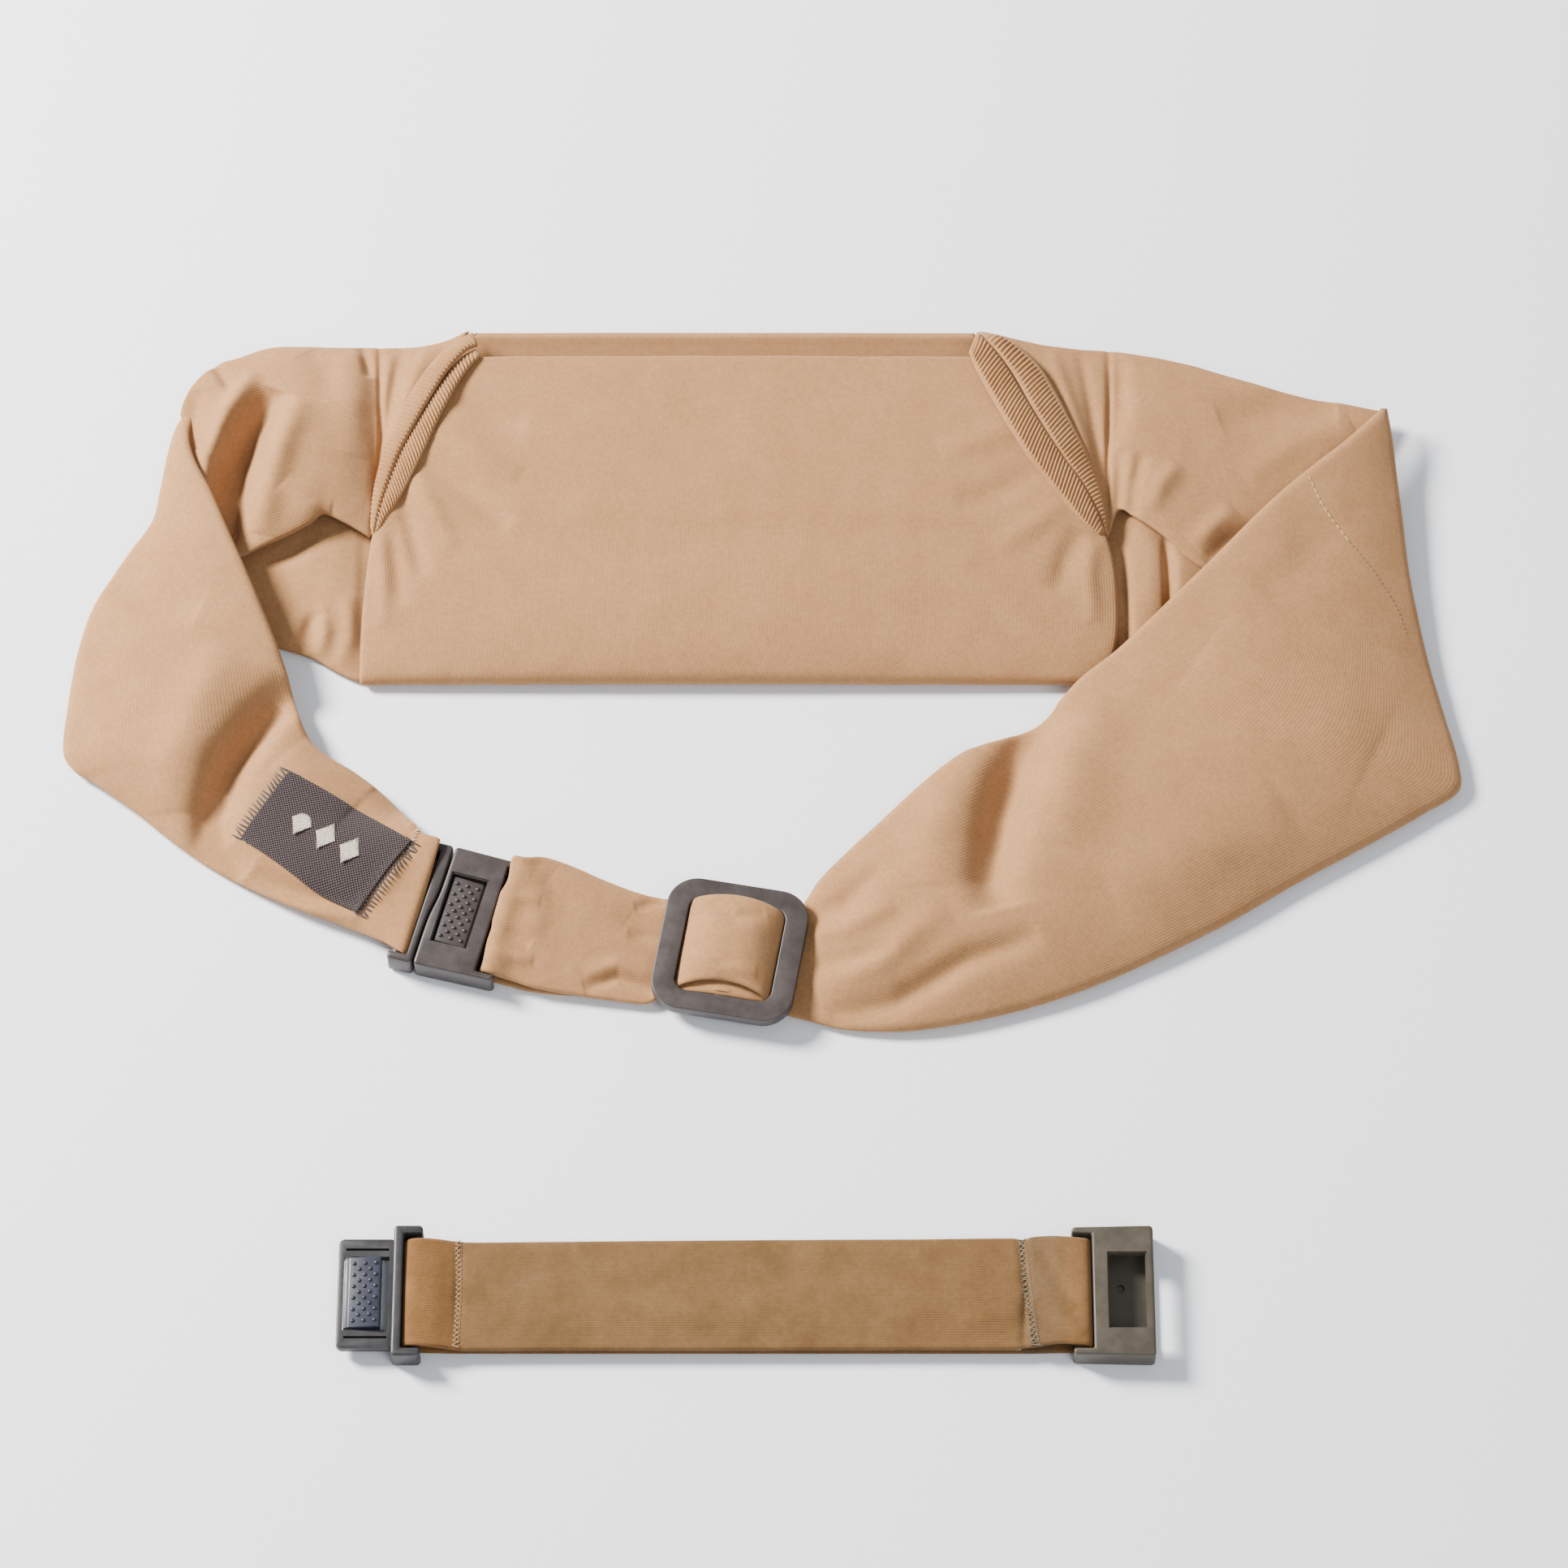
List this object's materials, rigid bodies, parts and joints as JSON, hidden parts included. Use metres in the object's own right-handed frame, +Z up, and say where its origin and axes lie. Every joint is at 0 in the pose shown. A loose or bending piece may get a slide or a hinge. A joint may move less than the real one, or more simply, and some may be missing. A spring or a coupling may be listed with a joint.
{
  "type": "pocketed money belt",
  "caption": "Knitted travel money belt with a soft pocket, push-button side-release buckle, sliding strap adjuster and a clip-in strap extender lying beside it.",
  "frame": {"origin": "on the table under the middle of the pocket's back panel", "axes": "+X to the wearer-side right as it lies, +Y towards the pocket mouth, +Z up off the table"},
  "size_m": [0.4472, 0.3725, 0.0187],
  "materials": {
    "knit": "fine beige-tan jersey knit, matte",
    "label_weave": "dark woven label tape with plain coloured marks",
    "thread": "tan sewing thread",
    "elastic": "woven elastic webbing inside the extender",
    "grey_acetal": "warm grey moulded acetal, satin"
  },
  "bodies": {
    "belt": {"pocket_back_panel": "knit", "pocket_front_panel": "knit", "left_flap_hem": "knit", "right_flap_hem": "knit", "left_side_flap": "knit", "left_side_pocket": "knit", "right_side_flap": "knit", "right_side_pocket": "knit", "left_wing": "knit", "right_wing": "knit", "wing_seam_stitching": "thread", "wing_throat": "knit", "short_strap": "knit", "buckle_female": "grey_acetal"},
    "pocket_mouth": {"front_mouth_hem": "knit", "left_mouth_hem": "knit", "right_mouth_hem": "knit"},
    "buckle_male": {"buckle_male": "grey_acetal", "left_strap_end": "knit", "woven_label": "label_weave", "label_stitching_left": "thread", "label_stitching_right": "thread", "strap_end_tack": "thread"},
    "buckle_button": {"buckle_button": "grey_acetal"},
    "adjuster": {"tri_glide": "grey_acetal", "adjuster_fold": "knit", "sewn_strap_end": "knit"},
    "extender": {"extender_strap_back": "knit", "extender_elastic_core": "elastic", "extender_strap_front": "knit", "extender_left_loop": "knit", "extender_right_loop": "knit", "extender_left_stitching": "thread", "extender_right_stitching": "thread"},
    "extender_male": {"extender_male": "grey_acetal"},
    "extender_button": {"extender_button": "grey_acetal"},
    "extender_female": {"extender_female": "grey_acetal"}
  },
  "joints": [
    {"name": "mouth_open", "type": "hinge", "parent": "belt", "child": "pocket_mouth", "pos_m": [0, -0.007, 0.009], "axis": [1, 0, 0], "range_deg": [0, 14], "deforming": ["pocket_front_panel"]},
    {"name": "buckle_pull", "type": "slide", "parent": "belt", "child": "buckle_male", "axis": [-0.9659, 0.2588, 0], "range_m": [0, 0.021], "deforming": ["left_wing", "buckle_button"]},
    {"name": "button_press", "type": "hinge", "parent": "buckle_male", "child": "buckle_button", "pos_m": [-0.08401, -0.15056, 0.0056], "axis": [-0.2588, -0.9659, 0], "range_deg": [0, 9], "stiffness_Nm_per_rad": 0.05, "springref_deg": -2.86},
    {"name": "adjuster_slide", "type": "slide", "parent": "belt", "child": "adjuster", "axis": [-0.9848, 0.1736, 0], "range_m": [0, 0.03], "deforming": ["short_strap", "wing_throat"]},
    {"name": "extender_lift", "type": "slide", "parent": "belt", "child": "extender", "axis": [0, 0, 1], "range_m": [0, 0.15]},
    {"name": "extender_male_swing", "type": "hinge", "parent": "extender", "child": "extender_male", "pos_m": [-0.1006, -0.281, 0.0045], "axis": [0, 1, 0], "range_deg": [0, 60]},
    {"name": "extender_button_press", "type": "hinge", "parent": "extender_male", "child": "extender_button", "pos_m": [-0.1229, -0.281, 0.0051], "axis": [0, 1, 0], "range_deg": [0, 9], "stiffness_Nm_per_rad": 0.05, "springref_deg": -2.86},
    {"name": "extender_female_swing", "type": "hinge", "parent": "extender", "child": "extender_female", "pos_m": [0.1062, -0.281, 0.0045], "axis": [0, -1, 0], "range_deg": [0, 60]}
  ]
}
